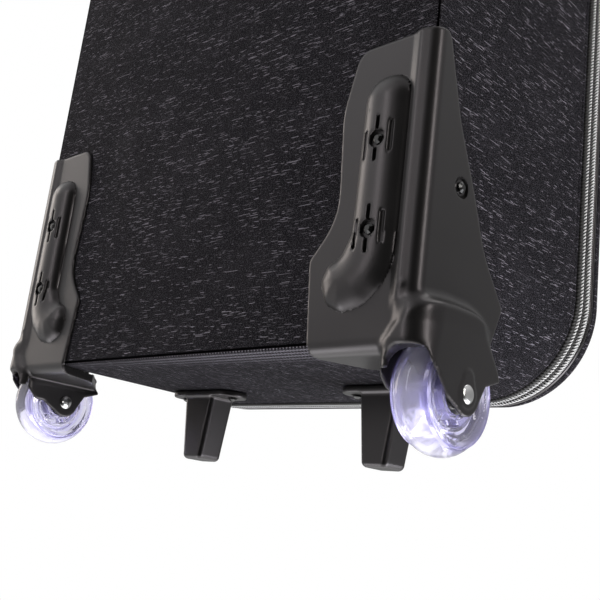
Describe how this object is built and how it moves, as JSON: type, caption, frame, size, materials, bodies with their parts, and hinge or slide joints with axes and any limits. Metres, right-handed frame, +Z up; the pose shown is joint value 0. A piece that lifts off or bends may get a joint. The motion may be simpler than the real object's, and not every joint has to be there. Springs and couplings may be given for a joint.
{
  "type": "keyboard gig bag",
  "caption": "Tall padded fabric case for a full-size keyboard, standing on two clear wheels and two feet, with a zipped lid, outer pocket and carry handles.",
  "frame": {"origin": "on the ground, under the middle of the case's bounding box", "axes": "+Z up along the case's length, +Y towards the lid (the case's front), +X to the right seen from the back"},
  "size_m": [0.4358, 0.243, 1.4698],
  "materials": {
    "cover_fabric": "woven melange polyester, matt",
    "foam_board": "closed-cell foam sheet, matt",
    "lining_fabric": "brushed nylon lining, matt",
    "trim_cord": "corded piping, satin",
    "zip_tape": "woven zip tape with coil",
    "webbing": "woven strap, matt",
    "moulding": "injection-moulded polypropylene, satin",
    "grip": "moulded grip, matt",
    "tyre_clear": "clear tinted polyurethane, gloss",
    "core_clear": "clear moulded core, gloss",
    "steel": "zinc-plated steel, bright",
    "black_steel": "blackened steel, satin"
  },
  "bodies": {
    "bag_body": {"axle_rivet_left": "steel", "axle_rivet_right": "steel", "back_nut_plate_left": "black_steel", "back_nut_plate_right": "black_steel", "body_cover": "cover_fabric", "body_edge_welt": "trim_cord", "body_foam": "foam_board", "body_lining": "lining_fabric", "body_zip_tape": "zip_tape", "foot_left": "moulding", "foot_nut_plate_left": "black_steel", "foot_nut_plate_right": "black_steel", "foot_right": "moulding", "foot_screw_left_inner": "black_steel", "foot_screw_left_outer": "black_steel", "foot_screw_right_inner": "black_steel", "foot_screw_right_outer": "black_steel", "hold_down_strap_lower": "webbing", "hold_down_strap_upper": "webbing", "housing_screw_left_lower": "black_steel", "housing_screw_left_side": "black_steel", "housing_screw_left_upper": "black_steel", "housing_screw_right_lower": "black_steel", "housing_screw_right_side": "black_steel", "housing_screw_right_upper": "black_steel", "lid_hinge_strip": "cover_fabric", "side_handle_mount_lower": "moulding", "side_handle_mount_upper": "moulding", "side_nut_plate_left": "black_steel", "side_nut_plate_right": "black_steel", "top_handle_mount_left": "moulding", "top_handle_mount_right": "moulding", "wheel_housing_left": "moulding", "wheel_housing_right": "moulding"},
    "lid": {"lid_cover": "cover_fabric", "lid_foam": "foam_board", "lid_lining": "lining_fabric", "lid_edge_piping": "trim_cord", "lid_zip_tape": "zip_tape", "pocket_pouch": "cover_fabric", "pocket_zip_tape": "zip_tape"},
    "wheel_right": {"wheel_tyre_right": "tyre_clear", "wheel_core_right": "core_clear", "wheel_bearing_right_inner": "steel", "wheel_bearing_right_outer": "steel"},
    "wheel_left": {"wheel_tyre_left": "tyre_clear", "wheel_core_left": "core_clear", "wheel_bearing_left_inner": "steel", "wheel_bearing_left_outer": "steel"},
    "side_handle": {"side_handle_strap": "webbing", "side_handle_grip": "grip"},
    "top_handle": {"top_handle_strap": "webbing", "top_handle_grip": "grip"},
    "main_slider_upper": {"main_slider_upper": "black_steel"},
    "main_slider_lower": {"main_slider_lower": "black_steel"},
    "main_pull_upper": {"main_pull_upper": "black_steel"},
    "main_pull_lower": {"main_pull_lower": "black_steel"},
    "pocket_slider": {"pocket_slider": "black_steel"},
    "pocket_pull": {"pocket_pull": "black_steel"}
  },
  "joints": [
    {"name": "lid_hinge", "type": "hinge", "parent": "bag_body", "child": "lid", "pos_m": [-0.206, 0.0713, 0.7562], "axis": [0, 0, 1], "range_deg": [0, 180], "deforming": ["lid_hinge_strip"]},
    {"name": "wheel_right_spin", "type": "hinge", "parent": "bag_body", "child": "wheel_right", "pos_m": [0.1988, -0.0734, 0.034], "axis": [1, 0, 0], "continuous": true},
    {"name": "wheel_left_spin", "type": "hinge", "parent": "bag_body", "child": "wheel_left", "pos_m": [-0.1988, -0.0734, 0.034], "axis": [1, 0, 0], "continuous": true},
    {"name": "side_handle_swing", "type": "hinge", "parent": "bag_body", "child": "side_handle", "pos_m": [0.2116, -0.0157, 0.7562], "axis": [0, 0, 1], "range_deg": [0, 180]},
    {"name": "top_handle_swing", "type": "hinge", "parent": "bag_body", "child": "top_handle", "pos_m": [0, -0.0157, 1.4638], "axis": [-1, 0, 0], "range_deg": [0, 180]},
    {"name": "main_slider_upper_travel", "type": "slide", "parent": "bag_body", "child": "main_slider_upper", "axis": [0, 0, 1], "range_m": [0, 0.5]},
    {"name": "main_slider_lower_travel", "type": "slide", "parent": "bag_body", "child": "main_slider_lower", "axis": [0, 0, -1], "range_m": [0, 0.6]},
    {"name": "main_pull_upper_swing", "type": "hinge", "parent": "main_slider_upper", "child": "main_pull_upper", "pos_m": [0.2071, 0.0713, 0.86], "axis": [0, -1, 0], "range_deg": [0, 170]},
    {"name": "main_pull_lower_swing", "type": "hinge", "parent": "main_slider_lower", "child": "main_pull_lower", "pos_m": [0.2071, 0.0713, 0.78], "axis": [0, -1, 0], "range_deg": [0, 170]},
    {"name": "pocket_slider_travel", "type": "slide", "parent": "lid", "child": "pocket_slider", "axis": [0, 0, -1], "range_m": [0, 0.3]},
    {"name": "pocket_pull_swing", "type": "hinge", "parent": "pocket_slider", "child": "pocket_pull", "pos_m": [0.1541, 0.1095, 0.906], "axis": [0, -1, 0], "range_deg": [0, 170]}
  ]
}
